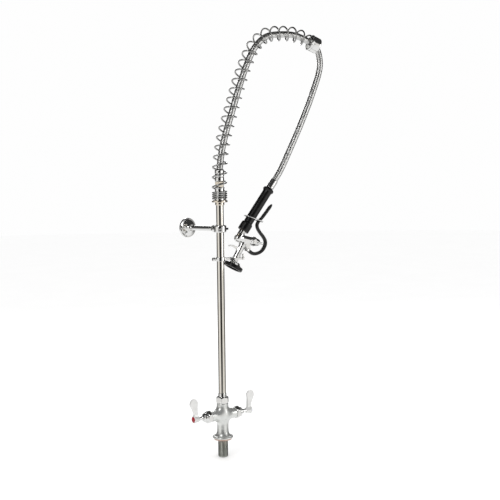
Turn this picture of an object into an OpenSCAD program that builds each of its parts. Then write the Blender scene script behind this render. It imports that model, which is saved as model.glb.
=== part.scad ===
// Deck-mounted pre-rinse faucet. A two-handle mixer stands on one threaded shank. A tall riser with a
// wall bracket and a finger hook carries a braided hose, which a coil spring holds up in an arch, and
// a squeeze-lever spray valve hangs from the hose with its neck in the hook.
// The origin is on the riser's axis at the deck's surface. +Z is up. +X is the side where the hose
// comes down. The cold handle is on that side too, with its arm turned 10 degrees towards +Y.

/* [Mixer] */
// Diameter of the threaded deck shank
shank_d = 28; // [26:0.5:30]
// Length of the shank below the deck
shank_len = 50; // [40:1:70]
// Diameter of the deck flange
flange_d = 58; // [54:1:64]
// Height of the handles' axis above the deck
arm_z = 70; // [66:1:74]
// Diameter of the body's two arms
arm_d = 29; // [28:0.5:31]
// Distance from the centre to the end of each cast arm
arm_reach = 42; // [40:1:46]
// Diameter of the body's column
column_d = 32; // [31:0.5:34]
// Length of a handle's paddle above its hub
paddle_h = 50; // [40:1:60]
// Width of the paddle's round top
paddle_w = 26; // [22:0.5:28]

/* [Riser] */
// Outside diameter of the riser pipe
riser_d = 21; // [19:0.5:21]
// Height of the riser pipe's top
riser_top = 672; // [660:1:674]
// Height of the finger hook's middle
hook_z = 513; // [512:0.5:514]

/* [Wall bracket] */
// Height of the bracket's clamp
bracket_z = 598; // [560:1:630]
// Distance from the riser's axis to the wall
wall_reach = 150; // [120:5:200]
// Direction of the wall, counted from +X
wall_angle = 107; // [90:1:180]
// Diameter of the wall flange
wall_flange_d = 57; // [50:1:64]

/* [Hose and spring] */
// Outside diameter of the braided hose
hose_d = 18; // [16:0.5:18]
// Outside diameter of the overhead spring
spring_d = 43; // [42:0.5:44]
// Diameter of the spring's wire
wire_d = 4.5; // [3:0.25:4.5]
// Number of turns in the spring
spring_turns = 27; // [24:1:30]

/* [Spray valve] */
// Lean of the grip from upright
grip_tilt = 35.6; // [35:0.1:36]
// Diameter of the grip
grip_d = 26; // [24:0.5:26]
// Diameter of the rubber bumper round the spray face
bumper_d = 56; // [50:1:56]
// Width of the squeeze lever
lever_w = 12; // [10:1:14]

/* [Hidden] */
$fn = 64;
eps = 0.01;
gap = 0.05;          // radial clearance of a running fit

// Deck and mixer
gasket_h = 4;
gasket_d = 50;
arm_turn = 10;       // angle of the arms, counted from +X towards +Y
inlet_r = 4.5;       // threaded supply inlet, up the shank from below
inlet_x = 6.5;
inlet_depth = 16;
shank_up = 14;       // height to which the shank is screwed into the body
neck_top = 104;      // shoulder that the riser nut comes down on
spigot_r = 13;
spigot_top = 114;
outlet_r = 8;
chamber_r = 11;
chamber_in = 9;      // inner end of a cartridge chamber
bonnet_end = 57;
gland_end = 66;
hub_in = 79;
hub_out = 97;
paddle_in = 83;      // inner edge of a paddle
stem_r = 4;

// Riser
sleeve_top = 133;
pipe_wall = 1.5;
pipe_bottom = 119;
nut_top = 122;

// Finger hook
hook_h = 12;
fork_t = 6;
fork_w = 6;          // width of each prong
fork_gap = 20;
fork_x = 43;         // centre of the slot's round end
fork_reach = 66;
fork_tip_h = 11;

// Bracket
clamp_d = 35;
clamp_h = 20;
rod_d = 14;
stud_r = 3.4;        // threaded hole in the wall flange for its wall stud
stud_depth = 9;

// Hose line, in the X-Z plane. Each point is [x, z].
seat_top = riser_top + 6;
arch_route = [
  [0, 678], [0, 728], [2, 778], [9, 827], [21, 875], [36, 923], [51, 971],
  [67, 1018], [86, 1065], [110, 1109], [147, 1141], [195, 1150], [244, 1148], [291, 1130.5],
];
arch_before = [0, 628];
arch_after = [337, 1110];
arch_len = 652;
collar_len = 27;
hose_lean = 5;       // the hose lies this far to the inner side of the bend
hose_from = 86;      // distance along the arch at which the hose leaves its ferrule
bend_from = 649;     // distance at which the hose turns down, inside the collar
bend_r = 60;
drop_route = [
  [321, 1092], [323, 1066], [318, 1040], [309, 1014], [298, 986], [286, 956], [272, 925],
  [258, 894], [243, 863], [228, 833], [213, 803], [198, 774], [184, 750],
];
hose_sides = 10;
closed_turns = 4;    // turns wound close at the spring's foot
closed_pitch = 5.5;
coil_in = 6;         // the coil's end goes this far into the collar
coil_steps = 12;
coil_sides = 6;

// Spray valve: the grip's frame, the valve's cross bar and the spray head's frame
grip_o = [54, 568.5];
grip_top = 165;
ferrule_end = 202;
skirt_from = 27.5;
skirt_to = 54.5;
bar_o = [54, 572];
bar_tilt = 105;
bar_r = 10.5;
bar_len = 46;
bonnet_len = 22;
stem_tip = 82.9;
neck_r = 9;
head_o = [39, 490.5];
head_tilt = 30;
neck_off = -5;
boss_h = 14;
lever_pivot = [84, 537];
lever_route = [
  [99, 525], [115, 525], [130, 533], [139, 547], [139.5, 560], [133, 572], [124, 583],
  [116.5, 595], [114.5, 606], [119.5, 616], [131, 627], [145, 643], [162, 664],
];
pin_r = 2.5;

// ---------- helpers ----------

// Children drawn along +Z stand at [x, z] and lean by tilt degrees towards +X.
module lean(at, tilt) translate([at[0], 0, at[1]]) rotate([0, tilt, 0]) children();

// A solid of revolution about Z from [radius, height] points.
module turned(points) rotate_extrude() polygon(points);

module tube(r, bore, z0, z1)
  translate([0, 0, z0]) difference() {
    cylinder(r = r, h = z1 - z0);
    translate([0, 0, -eps]) cylinder(r = bore, h = z1 - z0 + 2 * eps);
  }

// A hexagonal nut blank whose corners are turned off at both ends.
module hex_blank(corner_d, h, bevel = 1.5) {
  r = corner_d / 2;
  intersection() {
    cylinder(r = r, h = h, $fn = 6);
    turned([[0, 0], [r - bevel, 0], [r, bevel], [r, h - bevel], [r - bevel, h], [0, h]]);
  }
}

// Puts children drawn along +Z from the centre onto one of the two arms.
module on_arm(side)
  translate([0, 0, arm_z]) rotate([0, 0, arm_turn]) rotate([0, side * 90, 0]) children();

function spline1(a, b, c, d, t) =
  0.5 * (2 * b + (c - a) * t + (2 * a - 5 * b + 4 * c - d) * t * t + (3 * b - a - 3 * c + d) * t * t * t);

// Point at parameter t, counted in points, on the smooth curve through route.
function on_route(route, before, after, t) =
  let (n = len(route), i = min(floor(t), n - 2), p = concat([before], route, [after]))
  spline1(p[i], p[i + 1], p[i + 2], p[i + 3], t - i);

// The arch's centreline by distance s from the spring's seat; past its end it runs straight on.
arch_end = arch_route[len(arch_route) - 1];
arch_step = arch_after - arch_route[len(arch_route) - 2];
arch_dir = arch_step / norm(arch_step);
function arch(s) =
  s > arch_len ? arch_end + (s - arch_len) * arch_dir
  : on_route(arch_route, arch_before, arch_after, s / arch_len * (len(arch_route) - 1));
function arch_tangent(s) = let (d = arch(s + 1) - arch(s - 1)) d / norm(d);
// The side normal that points to the inside of the arch.
function inward(s) = let (t = arch_tangent(s)) [t[1], -t[0]];
function hose_shift(s) =
  s < bend_from ? hose_lean * sin(180 * (s - hose_from) / (bend_from - hose_from))
  : bend_r - sqrt(bend_r * bend_r - (s - bend_from) * (s - bend_from));
function hose_line(s) = arch(s) + hose_shift(s) * inward(s);
hose_exit = hose_line(arch_len + collar_len);
hose_before = hose_line(arch_len + collar_len - 20);

function grip_point(u) = grip_o + u * [sin(grip_tilt), cos(grip_tilt)];
drop_points = concat([hose_exit], drop_route, [grip_point(ferrule_end)]);
drop_n = len(drop_points) - 1;
over_steps = 30;
over_path = [
  for (i = [0 : over_steps])
    hose_line(hose_from + i / over_steps * (arch_len + collar_len - 0.1 - hose_from))
];
drop_path = [
  for (i = [0 : 2 * drop_n])
    on_route(drop_points, hose_before, grip_point(ferrule_end - 20), i / 2)
];

function way(path, i) =
  let (a = path[max(i - 1, 0)], b = path[min(i + 1, len(path) - 1)]) (b - a) / norm(b - a);

// A round bar of radius r swept along a path in the X-Z plane, with square ends. first and last
// are the directions of its two ends.
module swept(path, r, first, last, sides = hose_sides) {
  n = len(path);
  dirs = [for (i = [0 : n - 1]) i == 0 ? first : i == n - 1 ? last : way(path, i)];
  points = [
    for (i = [0 : n - 1], k = [0 : sides - 1])
      let (a = 360 * k / sides, side = [dirs[i][1], -dirs[i][0]])
      [path[i][0] + r * cos(a) * side[0], r * sin(a), path[i][1] + r * cos(a) * side[1]]
  ];
  faces = concat(
    [[for (k = [0 : sides - 1]) k]],
    [[for (k = [sides - 1 : -1 : 0]) (n - 1) * sides + k]],
    [for (i = [0 : n - 2], k = [0 : sides - 1])
      let (a = i * sides + k, b = i * sides + (k + 1) % sides) [a, a + sides, b + sides, b]]
  );
  polyhedron(points, faces, convexity = 10);
}

// ---------- deck and mixer ----------

module deck_shank() color("#9aa08f") {
  r = shank_d / 2;
  difference() {
    turned([
      [0, -shank_len], [r - 1.5, -shank_len], [r, -shank_len + 1.5], [r, 0], [r - 0.5, 0],
      [r - 0.5, shank_up], [0, shank_up],
    ]);
    for (side = [-1, 1]) translate([side * inlet_x, 0, -shank_len - eps]) {
      cylinder(r = inlet_r, h = inlet_depth);
      cylinder(r = 3.6, h = shank_len + shank_up + 1);
    }
  }
}

module deck_gasket() color("#c9a596")
  tube(gasket_d / 2, shank_d / 2 + 0.1, 0, gasket_h);

module mixer_body() color("silver") difference() {
  rf = flange_d / 2;
  rc = column_d / 2;
  ra = arm_d / 2;
  union() {
    turned([
      [0, gasket_h], [rf - 3, gasket_h], [rf - 0.5, gasket_h + 1.5], [rf, gasket_h + 3.5],
      [rf - 0.8, gasket_h + 5.5], [rf - 3, gasket_h + 6.5], [rf - 5, gasket_h + 6.5],
      [rc + 4.5, gasket_h + 9], [rc + 1.8, gasket_h + 14], [rc + 0.5, gasket_h + 20], [rc, gasket_h + 27],
      [rc, arm_z - 20], [rc + 2, arm_z - 15], [rc + 3, arm_z], [rc + 2, arm_z + 15], [rc + 0.7, arm_z + 21],
      [rc + 0.5, neck_top - 1], [rc - 0.5, neck_top], [spigot_r, neck_top], [spigot_r, spigot_top],
      [0, spigot_top],
    ]);
    for (side = [-1, 1]) on_arm(side)
      turned([
        [0, 0], [ra + 5, 0], [ra + 4, 12], [ra + 1.6, 17], [ra + 0.4, 22], [ra, 27],
        [ra, arm_reach - 1], [ra - 1, arm_reach], [0, arm_reach],
      ]);
  }
  translate([0, 0, gasket_h - eps]) cylinder(r = shank_d / 2 - 0.5, h = shank_up - gasket_h + eps);
  for (side = [-1, 1]) {
    translate([side * inlet_x, 0, shank_up - 1]) cylinder(r = 3.6, h = arm_z - shank_up - 7);
    on_arm(side) {
      translate([0, 0, chamber_in]) cylinder(r = chamber_r, h = arm_reach);
      cylinder(r = 3.5, h = chamber_in + 1);
    }
  }
  translate([0, 0, arm_z]) cylinder(r = outlet_r - 3, h = spigot_top);
  translate([0, 0, 92]) cylinder(r = outlet_r, h = spigot_top);
}

// Hexagonal bonnet with its domed gland, screwed onto the end of an arm.
module bonnet(side) color("gainsboro") on_arm(side) difference() {
  union() {
    translate([0, 0, arm_reach]) hex_blank(36, bonnet_end - arm_reach - 3, 2);
    turned([
      [0, bonnet_end - 4], [14.5, bonnet_end - 4], [14.5, bonnet_end - 1], [13, bonnet_end],
      [13, bonnet_end + 3], [11.5, bonnet_end + 5.5], [8.5, gland_end - 1.5], [7, gland_end],
      [0, gland_end],
    ]);
  }
  translate([0, 0, arm_reach - eps]) cylinder(r = chamber_r, h = bonnet_end - arm_reach);
  cylinder(r = stem_r + gap, h = gland_end + 1);
}

// Valve cartridge inside an arm; its washer faces the seat at the chamber's inner end.
module cartridge(side) color("goldenrod") on_arm(side) difference() {
  turned([
    [0, chamber_in + 1], [6, chamber_in + 1], [6, chamber_in + 5], [8, chamber_in + 5], [8, 24],
    [chamber_r - 0.1, 24], [chamber_r - 0.1, bonnet_end - 2], [0, bonnet_end - 2],
  ]);
  translate([0, 0, chamber_in + 5]) cylinder(r = stem_r + gap, h = bonnet_end);
}

module stem(side) color("silver") on_arm(side) difference() {
  union() {
    translate([0, 0, chamber_in + 6]) cylinder(r = stem_r, h = hub_out - 8 - chamber_in - 6);
    turned([[0, gland_end + 1], [6.5, gland_end + 1], [6.5, gland_end + 3], [5.2, gland_end + 4.5],
            [5.2, hub_in], [0, hub_in]]);
  }
  translate([0, 0, hub_out - 16]) cylinder(r = 1.6, h = 20);
}

// Hub and upright paddle. The paddle's inner edge is straight and its outer edge flares out.
module handle(side) color("whitesmoke") {
  on_arm(side) difference() {
    turned([
      [0, hub_in], [6.2, hub_in], [7.2, hub_in + 1], [9.6, hub_out - 5], [10.2, hub_out - 3],
      [10.2, hub_out - 1], [9.4, hub_out], [0, hub_out],
    ]);
    translate([0, 0, hub_in - eps]) cylinder(r = stem_r, h = 30);
    translate([0, 0, hub_out - 6]) cylinder(r = 5, h = 10);
  }
  r = paddle_w / 2;
  top = arm_z + 9 + paddle_h - r;
  rotate([0, 0, arm_turn]) mirror([side < 0 ? 1 : 0, 0, 0]) translate([0, 3.5, 0]) rotate([90, 0, 0])
    linear_extrude(7) union() {
      polygon([
        [paddle_in + 0.5, arm_z + 6.5], [hub_out - 1, arm_z + 7], [hub_out - 1, arm_z + 16],
        [hub_out + 0.8, arm_z + 24], [hub_out + 4, arm_z + 32], [paddle_in + 2 * r - 3, top - 7.5],
        [paddle_in + 2 * r - 0.1, top], [paddle_in, top],
      ]);
      translate([paddle_in + r, top]) circle(r = r);
    }
}

module handle_screw(side) color("dimgray") on_arm(side) union() {
  translate([0, 0, hub_out - 6]) cylinder(r = 3.6, h = 3);
  translate([0, 0, hub_out - 15]) cylinder(r = 1.6, h = 10);
}

module index(side) on_arm(side) color(side < 0 ? "firebrick" : "royalblue")
  turned([[0, hub_out - 2], [4.9, hub_out - 2], [4.9, hub_out], [8.2, hub_out], [8.2, hub_out + 0.8],
          [7.4, hub_out + 1.5], [0, hub_out + 2]]);

module hot_bonnet() bonnet(-1);
module cold_bonnet() bonnet(1);
module hot_cartridge() cartridge(-1);
module cold_cartridge() cartridge(1);
module hot_stem() stem(-1);
module cold_stem() stem(1);
module hot_handle() handle(-1);
module cold_handle() handle(1);
module hot_screw() handle_screw(-1);
module cold_screw() handle_screw(1);
module hot_index() index(-1);
module cold_index() index(1);

// ---------- riser ----------

module riser_nut() color("silver") difference() {
  translate([0, 0, neck_top]) hex_blank(38, nut_top - neck_top, 2.5);
  translate([0, 0, neck_top - eps]) cylinder(r = spigot_r, h = spigot_top + 3.8 - neck_top);
  translate([0, 0, neck_top]) cylinder(r = 11.6, h = 30);
}

// Sleeve that the riser is soldered into. Its flange is held by the nut and its spigot seals below.
module riser_sleeve() color("gainsboro") difference() {
  turned([
    [0, 94], [outlet_r - gap, 94], [outlet_r - gap, 96], [5.75, 96], [5.75, 98.5], [outlet_r - gap, 98.5],
    [outlet_r - gap, 102], [5.75, 102], [5.75, 104.5], [outlet_r - gap, 104.5],
    [outlet_r - gap, spigot_top + 0.05], [12.7, spigot_top + 0.05], [12.7, spigot_top + 3.6],
    [11.5, spigot_top + 3.6], [11.5, sleeve_top - 2], [10.9, sleeve_top], [0, sleeve_top],
  ]);
  translate([0, 0, pipe_bottom]) cylinder(r = riser_d / 2, h = 30);
  cylinder(r = 4.5, h = 200);
}

module riser_orings() color("black") for (z = [97.25, 103.25])
  rotate_extrude() translate([6.85, z]) circle(r = 1.05);

module riser_pipe() color("silver") tube(riser_d / 2, riser_d / 2 - pipe_wall, pipe_bottom, riser_top);

// Clamp ring with a flat fork whose two prongs turn up at their tips.
module finger_hook() color("silver") {
  half = fork_gap / 2 + fork_w;
  z0 = hook_z - fork_t / 2;
  difference() {
    union() {
      translate([0, 0, hook_z - hook_h / 2]) cylinder(r = 13, h = hook_h);
      translate([0, 0, z0]) linear_extrude(fork_t) difference() {
        polygon([[0, -8], [26, -9], [36, -half], [fork_reach, -half], [fork_reach, half],
                 [36, half], [26, 9], [0, 8]]);
        translate([fork_x, 0]) circle(d = fork_gap);
        translate([fork_x, -fork_gap / 2]) square([40, fork_gap]);
      }
      for (side = [-1, 1]) translate([fork_reach - 5, side * (half - fork_w / 2) - fork_w / 2, z0])
        cube([5, fork_w, fork_t + fork_tip_h]);
      translate([-16, 0, hook_z]) rotate([0, 90, 0]) cylinder(r = 4.5, h = 8);
    }
    translate([0, 0, hook_z - 20]) cylinder(r = riser_d / 2, h = 40);
    translate([-30, 0, hook_z]) rotate([0, 90, 0]) cylinder(r = 2.5, h = 30);
  }
}

module hook_screw() color("silver") translate([0, 0, hook_z]) rotate([0, -90, 0])
  turned([[0, riser_d / 2], [2.5, riser_d / 2], [2.5, 17], [4, 17], [5, 18], [5, 23.5], [4, 24.5], [0, 24.5]]);

module spring_seat() color("silver") difference() {
  turned([
    [0, riser_top - 8], [12, riser_top - 8], [13, riser_top - 6], [13, riser_top],
    [spring_d / 2 - 0.5, riser_top], [spring_d / 2 + 0.5, riser_top + 1],
    [spring_d / 2 + 0.5, seat_top - 1], [spring_d / 2 - 0.5, seat_top], [0, seat_top],
  ]);
  translate([0, 0, riser_top - 10]) cylinder(r = riser_d / 2, h = 30);
  translate([0, 0, riser_top - 4]) rotate([0, 90, wall_angle + 140]) cylinder(r = 2, h = 30);
}

module seat_screw() color("#222222") translate([0, 0, riser_top - 4]) rotate([0, 90, wall_angle + 140])
  translate([0, 0, riser_d / 2]) cylinder(r = 2, h = 4.5);

// Adapter soldered to the riser's top; the hose's nut screws onto it.
module hose_adapter() color("silver") difference() {
  turned([
    [0, riser_top], [riser_d / 2, riser_top], [riser_d / 2, seat_top], [14, seat_top],
    [14, seat_top + 34], [13, seat_top + 36], [9.5, seat_top + 36], [9.5, seat_top + 44],
    [0, seat_top + 44],
  ]);
  cylinder(r = 6.5, h = 1000);
}

module hose_washer() color("black") tube(9.4, 6.5, seat_top + 44, seat_top + 45.5);

module hose_nut() color("#c8b78c") difference() {
  translate([0, 0, seat_top + 37]) hex_blank(27, 15, 1.5);
  translate([0, 0, seat_top + 30]) cylinder(r = 9.5, h = 18.5);
  translate([0, 0, seat_top + 30]) cylinder(r = 7.6, h = 30);
}

module hose_ferrule() color("silver") difference() {
  top = over_path[0][1];
  turned([
    [0, seat_top + 45.5], [9.3, seat_top + 45.5], [9.3, seat_top + 48.4], [7.5, seat_top + 48.4],
    [7.5, seat_top + 52.2], [12, seat_top + 52.2], [13, seat_top + 54], [13, top - 3], [11.5, top],
    [0, top],
  ]);
  cylinder(r = 5, h = 1000);
}

module overhead_hose() color("#b9bcbd") {
  d1 = (drop_path[1] - over_path[len(over_path) - 2]);
  swept(over_path, hose_d / 2, [0, 1], d1 / norm(d1));
}

// Distance along the arch of a point n turns up the spring.
function coil_at(n) =
  let (open_pitch = (arch_len - closed_turns * closed_pitch) / (spring_turns - closed_turns))
  n < closed_turns ? closed_pitch * n
  : closed_turns * closed_pitch + open_pitch * (n - closed_turns);
function coil_radius(n) =
  (spring_d - wire_d) / 2 - 1.7 * max(0, min(1, (n - spring_turns + 1.6) / 0.8));
function coil_point(n) =
  let (s = wire_d / 2 + gap + (arch_len + coil_in - wire_d) / arch_len * coil_at(n), c = arch(s),
       side = inward(s), r = coil_radius(n))
  [c[0] + r * cos(360 * n) * side[0], r * sin(360 * n), c[1] + r * cos(360 * n) * side[1]];

// Right-handed coil of round wire wound round the arch's centreline.
module overhead_spring() color("silver") {
  rings = spring_turns * coil_steps;
  points = [
    for (i = [0 : rings])
      let (n = i / coil_steps, c = coil_point(n),
           t = coil_point(n + 0.01) - coil_point(n - 0.01), along = t / norm(t),
           up = cross(along, [0, 1, 0]), u = up / norm(up), v = cross(along, u))
      for (k = [0 : coil_sides - 1])
        c + wire_d / 2 * (cos(360 * k / coil_sides) * u + sin(360 * k / coil_sides) * v)
  ];
  faces = concat(
    [[for (k = [0 : coil_sides - 1]) k]],
    [[for (k = [coil_sides - 1 : -1 : 0]) rings * coil_sides + k]],
    [for (i = [0 : rings - 1], k = [0 : coil_sides - 1])
      let (a = i * coil_sides + k, b = i * coil_sides + (k + 1) % coil_sides)
      [a, a + coil_sides, b + coil_sides, b]]
  );
  polyhedron(points, faces, convexity = 20);
}

// Cup that holds the spring's end. The hose turns down inside it and leaves by its open mouth.
module spring_collar() color("silver")
  lean(arch_end, 90 - atan2(arch_dir[1], arch_dir[0])) difference() {
    r = spring_d / 2 + 1.5;
    turned([
      [0, -1], [r - 1, -1], [r, 0], [r, 3], [r - 1, 4], [r - 2.2, 4.2], [r - 2.2, 6.8], [r - 1, 7],
      [r - 1, collar_len - 1.5], [r - 2, collar_len], [0, collar_len],
    ]);
    translate([0, 0, -2]) cylinder(r = r - 3, h = 12);
    translate([0, 0, -2]) cylinder(r = 19.9, h = 60);
  }

// ---------- wall bracket ----------

module on_bracket() translate([0, 0, bracket_z]) rotate([0, 0, wall_angle]) rotate([0, 90, 0]) children();

bracket_screw_angles = [138, 228];   // counted from the rod

module bracket_clamp() color("gainsboro") difference() {
  union() {
    translate([0, 0, bracket_z - clamp_h / 2]) turned([
      [0, 0], [clamp_d / 2 - 2, 0], [clamp_d / 2, 2], [clamp_d / 2, clamp_h - 2],
      [clamp_d / 2 - 2, clamp_h], [0, clamp_h],
    ]);
    on_bracket() translate([0, 0, 5]) cylinder(r = 9.5, h = 19);
  }
  translate([0, 0, bracket_z - 20]) cylinder(r = riser_d / 2 + gap, h = 40);
  on_bracket() translate([0, 0, 14]) cylinder(r = rod_d / 2, h = 30);
  for (a = bracket_screw_angles) translate([0, 0, bracket_z]) rotate([0, 90, wall_angle + a])
    cylinder(r = 3, h = 40);
}

module bracket_screws() color("#333333") for (a = bracket_screw_angles)
  translate([0, 0, bracket_z]) rotate([0, 90, wall_angle + a]) difference() {
    turned([[0, riser_d / 2 + 0.4], [2, riser_d / 2 + 0.4], [3, riser_d / 2 + 1.4], [3, clamp_d / 2 + 5],
            [2.4, clamp_d / 2 + 5.6], [0, clamp_d / 2 + 5.6]]);
    translate([0, 0, clamp_d / 2 + 2.5]) cylinder(r = 1.4, h = 10, $fn = 6);
  }

module bracket_rod() color("silver") on_bracket()
  translate([0, 0, 14]) cylinder(r = rod_d / 2, h = wall_reach - 14 - 12);

module bracket_locknut() color("silver") on_bracket() difference() {
  translate([0, 0, 24]) hex_blank(20, 7, 1);
  cylinder(r = rod_d / 2, h = 100);
}

module wall_flange() color("silver") on_bracket() difference() {
  r = wall_flange_d / 2;
  turned([
    [0, wall_reach - 22], [9.5, wall_reach - 22], [10.5, wall_reach - 20], [10.5, wall_reach - 13],
    [14, wall_reach - 10.5], [r - 6, wall_reach - 8], [r - 5, wall_reach - 6.5], [r - 1, wall_reach - 6],
    [r, wall_reach - 5], [r, wall_reach], [0, wall_reach],
  ]);
  translate([0, 0, wall_reach - 30]) cylinder(r = rod_d / 2, h = 18);
  translate([0, 0, wall_reach - stud_depth]) cylinder(r = stud_r, h = 20);
}

// ---------- spray valve ----------

module on_grip() lean(grip_o, grip_tilt) children();
module on_bar() lean(bar_o, bar_tilt) children();
module on_head() lean(head_o, head_tilt) children();

module drop_hose() color("#b9bcbd") {
  d0 = (drop_path[1] - over_path[len(over_path) - 2]);
  swept(drop_path, hose_d / 2, d0 / norm(d0), -[sin(grip_tilt), cos(grip_tilt)]);
}

module grip_ferrule() color("silver") on_grip() difference() {
  turned([
    [0, grip_top + 8], [10, grip_top + 8], [11, grip_top + 9], [11, grip_top + 22], [10.4, grip_top + 23],
    [11, grip_top + 24], [11, ferrule_end - 2], [10, ferrule_end], [0, ferrule_end],
  ]);
  cylinder(r = 5, h = 1000);
}

module grip_tube() color("gainsboro") on_grip() tube(8.8, 6.5, 14, grip_top + 8);

// Rubber grip with a flange at its top.
module grip() color("#202020") on_grip() difference() {
  r = grip_d / 2;
  turned([
    [0, skirt_to], [r, skirt_to], [r, grip_top - 6], [r + 1, grip_top - 2], [r + 3, grip_top],
    [r + 3, grip_top + 4], [r + 2, grip_top + 6], [r - 1, grip_top + 6.5], [r - 1.5, grip_top + 8],
    [0, grip_top + 8],
  ]);
  cylinder(r = 8.8, h = 1000);
}

module grip_skirt() color("#1a1a1a") on_grip() difference() {
  r = grip_d / 2 + 3.5;
  turned([
    [0, skirt_from], [r - 0.8, skirt_from], [r, skirt_from + 1], [r, skirt_to - 5],
    [grip_d / 2 + 0.5, skirt_to], [0, skirt_to],
  ]);
  cylinder(r = 8.8, h = 1000);
}

// Cast valve body: elbow under the grip, cross bar, lever ears, hanging tab and the neck to the head.
module valve_body() color("silver") {
  ear_in = lever_w / 2 + 0.4;
  ear_t = 3;
  neck_len = 80;
  difference() {
    union() {
      on_grip() translate([0, 0, 2]) cylinder(r = 9.5, h = skirt_from - 2);
      on_grip() translate([0, 0, 2]) sphere(r = 11.5);
      on_bar() translate([0, 0, -1]) cylinder(r = bar_r, h = bar_len + 1);
      on_head() translate([neck_off, 0, boss_h]) cylinder(r = neck_r, h = neck_len - boss_h);
      on_head() translate([neck_off, 0, neck_len - 16]) cylinder(r = 10.5, h = 5);
      for (side = [-1, 1]) hull() {
        translate([lever_pivot[0], side * (ear_in + ear_t / 2), lever_pivot[1]]) rotate([90, 0, 0])
          cylinder(r = 5.5, h = ear_t, center = true, $fn = 32);
        translate([80, side * (ear_in + ear_t / 2), 561]) rotate([90, 0, 0])
          cylinder(r = 7, h = ear_t, center = true, $fn = 32);
      }
      translate([0, 2.5, 0]) rotate([90, 0, 0]) linear_extrude(5)
        polygon([[54, 533], [46, 541], [38, 546.5], [30, 548.5], [25, 547.5], [24.5, 551], [31, 552.5],
                 [40, 551], [50, 546.5], [60, 541]]);
    }
    on_grip() translate([0, 0, 2]) cylinder(r = 6.5, h = 40);
    on_grip() translate([0, 0, 14]) cylinder(r = 8.8, h = 40);
    on_bar() translate([0, 0, 8]) cylinder(r = 6.5, h = 60);
    on_head() translate([neck_off, 0, 0]) cylinder(r = 5, h = neck_len - 3);
    translate([lever_pivot[0], 0, lever_pivot[1]]) rotate([90, 0, 0])
      cylinder(r = pin_r, h = 60, center = true);
  }
}

module valve_bonnet() color("gainsboro") on_bar() difference() {
  union() {
    translate([0, 0, bar_len]) hex_blank(28, 9, 1.5);
    turned([
      [0, bar_len], [11.5, bar_len], [11.5, bar_len + 12], [9.5, bar_len + 14.5], [9.5, bar_len + 19],
      [8, bar_len + bonnet_len], [0, bar_len + bonnet_len],
    ]);
  }
  translate([0, 0, bar_len - 1]) cylinder(r = 6.5, h = 10);
  cylinder(r = 3 + gap, h = 200);
}

// Plunger that the lever pushes in to open the valve.
module valve_stem() color("silver") on_bar() union() {
  translate([0, 0, 26]) cylinder(r = 6.2, h = 3);
  translate([0, 0, 20]) cylinder(r = 3, h = stem_tip - 22.5);
  translate([0, 0, stem_tip - 3]) sphere(r = 3);
}

module valve_washer() color("black") on_bar() tube(6.2, 3, 29, 32);

// Return spring behind the plunger; a row of rings stands for its coils.
module valve_spring() color("gray") on_bar() for (i = [0 : 5])
  translate([0, 0, 9.6 + i * 2.6]) rotate_extrude() translate([4.8, 0]) circle(r = 0.7, $fn = 16);

// Half of the lever's thickness, from t = 0 at the pivot to 1 at the thumb blade's tip.
function lever_half(t) = t > 0.94 ? 4.2 - 28 * (t - 0.94) : t > 0.6 ? 4.2 : 5 - 0.8 * t / 0.6;
lever_points = concat([lever_pivot], lever_route);
lever_steps = 4 * (len(lever_points) - 1);
lever_path = [for (i = [0 : lever_steps]) on_route(lever_points, [72, 552], [178, 685], i / 4)];
function lever_edge(i, side) =
  let (d = way(lever_path, i)) lever_path[i] + side * lever_half(i / lever_steps) * [d[1], -d[0]];

module squeeze_lever() color("#202020") {
  difference() {
    union() {
      translate([0, lever_w / 2, 0]) rotate([90, 0, 0]) linear_extrude(lever_w)
        polygon(concat([for (i = [0 : lever_steps]) lever_edge(i, 1)],
                       [for (i = [lever_steps : -1 : 0]) lever_edge(i, -1)]));
      translate([lever_pivot[0], 0, lever_pivot[1]]) rotate([90, 0, 0])
        cylinder(r = 5, h = lever_w, center = true);
    }
    translate([lever_pivot[0], 0, lever_pivot[1]]) rotate([90, 0, 0])
      cylinder(r = pin_r + gap, h = 60, center = true);
  }
}

module lever_pin() color("silver")
  translate([lever_pivot[0], 0, lever_pivot[1]]) rotate([90, 0, 0]) union() {
    cylinder(r = pin_r, h = lever_w + 7, center = true);
    for (side = [-1, 1]) translate([0, 0, side * (lever_w / 2 + 4.4)])
      cylinder(r = 4, h = 2, center = true);
  }

// Loose wire ring round the grip and the lever. Slid up the grip, it holds the squeezed lever in.
ring_wire = 1.4;
ring_half = 15.2;    // half of its width, at the wire's middle
ring_out = 22.5;      // centre of its round end beyond the lever
ring_back = -5;
module hold_ring() color("silver") on_grip() translate([0, 0, 72]) rotate([0, -15, 0]) {
  for (side = [-1, 1]) translate([ring_back, side * ring_half, 0]) rotate([0, 90, 0])
    cylinder(r = ring_wire, h = ring_out - ring_back, $fn = 24);
  translate([ring_out, 0, 0]) rotate([0, 0, -90]) rotate_extrude(angle = 180)
    translate([ring_half, 0]) circle(r = ring_wire, $fn = 24);
  translate([ring_back, 0, 0]) rotate([0, 0, 90]) rotate_extrude(angle = 180)
    translate([ring_half, 0]) circle(r = ring_wire, $fn = 24);
}

module spray_head() color("silver") on_head() difference() {
  turned([
    [0, 3], [bumper_d / 2 - 6, 3], [bumper_d / 2 - 6, 5], [bumper_d / 2 - 9, 7], [15, 11], [14, 12.5],
    [13.5, boss_h], [0, boss_h],
  ]);
  cylinder(r = 17, h = 6);
  translate([neck_off, 0, 0]) cylinder(r = 5, h = 60);
}

module head_gasket() color("black") on_head() tube(20, 17, 1, 3);

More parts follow.
